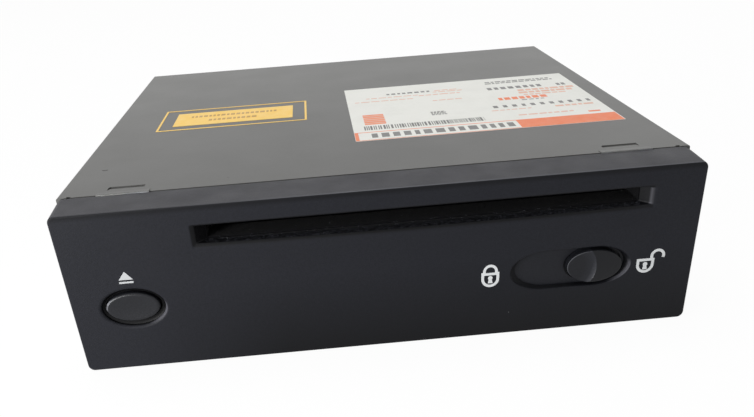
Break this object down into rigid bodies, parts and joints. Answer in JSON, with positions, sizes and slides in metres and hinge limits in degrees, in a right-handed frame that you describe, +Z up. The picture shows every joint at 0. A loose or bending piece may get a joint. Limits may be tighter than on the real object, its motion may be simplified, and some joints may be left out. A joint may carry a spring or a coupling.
{
  "type": "car navigation dvd drive",
  "caption": "Slot-loading disc drive for a car navigation system: flat steel case, moulded face with an eject button and a lock slider, disc loader, clamp and pickup inside.",
  "frame": {"origin": "centre of the drive's footprint, on the plane that its case lies on", "axes": "+Z up; the face with the slot looks along -Y, the rear socket points along +Y, +X is to the right of someone facing the slot"},
  "size_m": [0.1852, 0.1784, 0.0499],
  "materials": {
    "bezel": "fine-textured black moulding",
    "cover": "satin dark grey sheet",
    "case_steel": "zinc-plated sheet",
    "socket_plastic": "black nylon",
    "screw_steel": "zinc-plated",
    "felt": "black felt",
    "button_plastic": "satin black plastic",
    "switch_body": "black plastic",
    "natural_plastic": "natural acetal",
    "board": "green solder resist",
    "chip": "moulded package",
    "cable": "flat cable film",
    "frame_steel": "zinc-plated pressing",
    "black_inner": "black acetal",
    "motor_can": "drawn steel can",
    "shaft_steel": "ground steel",
    "rubber": "matt rubber",
    "cast": "die-cast",
    "lens": "coated lens"
  },
  "bodies": {
    "case": {"front_bezel": "bezel", "top_cover": "cover", "lower_case": "case_steel", "rear_panel": "case_steel", "rear_socket": "socket_plastic", "cover_screw_front_left": "screw_steel", "cover_screw_rear_left": "screw_steel", "cover_screw_front_right": "screw_steel", "cover_screw_rear_right": "screw_steel", "rear_screw_left": "screw_steel", "rear_screw_right": "screw_steel", "felt_lower": "felt", "felt_upper": "felt", "eject_switch": "switch_body", "front_board": "board", "lock_switch": "switch_body", "main_board": "board", "main_processor": "chip", "flat_cable": "cable", "mech_frame": "frame_steel", "gear_plate": "frame_steel", "disc_guide": "black_inner", "loading_motor": "motor_can", "traverse_plate": "cast", "damper_1": "rubber", "damper_2": "rubber", "damper_3": "rubber", "damper_4": "rubber", "spindle_motor": "motor_can", "guide_rod_1": "shaft_steel", "guide_rod_2": "shaft_steel", "sled_motor": "motor_can"},
    "eject_button": {"eject_button": "button_plastic"},
    "eject_plunger": {"eject_plunger": "natural_plastic"},
    "lock_slider": {"lock_knob": "button_plastic", "lock_plate": "bezel"},
    "lock_lever": {"lock_lever": "natural_plastic"},
    "bracket": {"roller_bracket": "frame_steel"},
    "roller": {"feed_roller": "rubber", "feed_shaft": "shaft_steel", "roller_gear": "natural_plastic"},
    "idler": {"idler_gear": "natural_plastic"},
    "clutch": {"clutch_gear": "natural_plastic"},
    "reduction": {"reduction_gear": "natural_plastic"},
    "motor_rotor": {"motor_pinion": "natural_plastic"},
    "mode_slider": {"mode_slider": "natural_plastic"},
    "mode_pinion": {"mode_pinion": "natural_plastic"},
    "clamp": {"clamp_arm": "frame_steel"},
    "clamper": {"clamper": "black_inner"},
    "spindle": {"turntable": "black_inner"},
    "sled": {"pickup_sled": "cast", "pickup_lens": "lens"},
    "lead_screw": {"lead_screw": "shaft_steel"},
    "trigger": {"trigger_lever": "natural_plastic"}
  },
  "joints": [
    {"name": "eject_press", "type": "slide", "parent": "case", "child": "eject_button", "axis": [0, 1, 0], "range_m": [0, 0.001], "stiffness_N_per_m": 1200, "springref_m": -0.0006},
    {"name": "eject_plunger_press", "type": "slide", "parent": "case", "child": "eject_plunger", "axis": [0, 1, 0], "range_m": [0, 0.001]},
    {"name": "lock_slide", "type": "slide", "parent": "case", "child": "lock_slider", "axis": [-1, 0, 0], "range_m": [0, 0.0132]},
    {"name": "lock_lever_slide", "type": "slide", "parent": "case", "child": "lock_lever", "axis": [-1, 0, 0], "range_m": [0, 0.0132]},
    {"name": "mode_slide", "type": "slide", "parent": "case", "child": "mode_slider", "axis": [0, -1, 0], "range_m": [0, 0.01]},
    {"name": "mode_pinion_spin", "type": "hinge", "parent": "case", "child": "mode_pinion", "pos_m": [-0.0545, -0.04211, 0.0204], "axis": [1, 0, 0], "range_deg": [0, 60]},
    {"name": "bracket_swing", "type": "hinge", "parent": "case", "child": "bracket", "pos_m": [0.0118, -0.04919, 0.0343], "axis": [1, 0, 0], "range_deg": [0, 16.5]},
    {"name": "clamp_swing", "type": "hinge", "parent": "case", "child": "clamp", "pos_m": [0.0118, 0.06395, 0.0435], "axis": [1, 0, 0], "range_deg": [0, 3.9]},
    {"name": "roller_spin", "type": "hinge", "parent": "bracket", "child": "roller", "pos_m": [0.0118, -0.06305, 0.0363], "axis": [1, 0, 0], "continuous": true},
    {"name": "idler_spin", "type": "hinge", "parent": "bracket", "child": "idler", "pos_m": [-0.05865, -0.04919, 0.0343], "axis": [1, 0, 0], "continuous": true},
    {"name": "clutch_spin", "type": "hinge", "parent": "case", "child": "clutch", "pos_m": [-0.0617, -0.04919, 0.0343], "axis": [1, 0, 0], "continuous": true},
    {"name": "reduction_spin", "type": "hinge", "parent": "case", "child": "reduction", "pos_m": [-0.0633, -0.04211, 0.0204], "axis": [1, 0, 0], "continuous": true},
    {"name": "motor_spin", "type": "hinge", "parent": "case", "child": "motor_rotor", "pos_m": [-0.066, -0.02771, 0.0144], "axis": [1, 0, 0], "continuous": true},
    {"name": "spindle_spin", "type": "hinge", "parent": "case", "child": "spindle", "pos_m": [0.0118, 0.00095, 0.036], "axis": [0, 0, 1], "continuous": true},
    {"name": "clamper_spin", "type": "hinge", "parent": "clamp", "child": "clamper", "pos_m": [0.0118, 0.00095, 0.045], "axis": [0, 0, 1], "continuous": true},
    {"name": "sled_slide", "type": "slide", "parent": "case", "child": "sled", "axis": [-1, 0, 0], "range_m": [0, 0.035]},
    {"name": "lead_screw_spin", "type": "hinge", "parent": "case", "child": "lead_screw", "pos_m": [-0.03, 0.03195, 0.0284], "axis": [1, 0, 0], "range_deg": [0, 4205]},
    {"name": "trigger_swing", "type": "hinge", "parent": "case", "child": "trigger", "pos_m": [0.066, 0.05495, 0.0427], "axis": [0, 0, -1], "range_deg": [0, 5], "stiffness_Nm_per_rad": 0.02, "springref_deg": -2.86}
  ],
  "couplings": [
    {"joint": "eject_plunger_press", "follows": "eject_press", "ratio": 1},
    {"joint": "lock_lever_slide", "follows": "lock_slide", "ratio": 1},
    {"joint": "mode_pinion_spin", "follows": "mode_slide", "rad_per_m": 104.17},
    {"joint": "bracket_swing", "follows": "mode_slide", "rad_per_m": 28.67},
    {"joint": "clamp_swing", "follows": "mode_slide", "rad_per_m": 6.6716},
    {"joint": "idler_spin", "follows": "roller_spin", "ratio": -0.66667},
    {"joint": "clutch_spin", "follows": "roller_spin", "ratio": -0.66667},
    {"joint": "reduction_spin", "follows": "roller_spin", "ratio": 1.5},
    {"joint": "motor_spin", "follows": "roller_spin", "ratio": -5},
    {"joint": "clamper_spin", "follows": "spindle_spin", "ratio": 1},
    {"joint": "lead_screw_spin", "follows": "sled_slide", "rad_per_m": 2094.4}
  ]
}
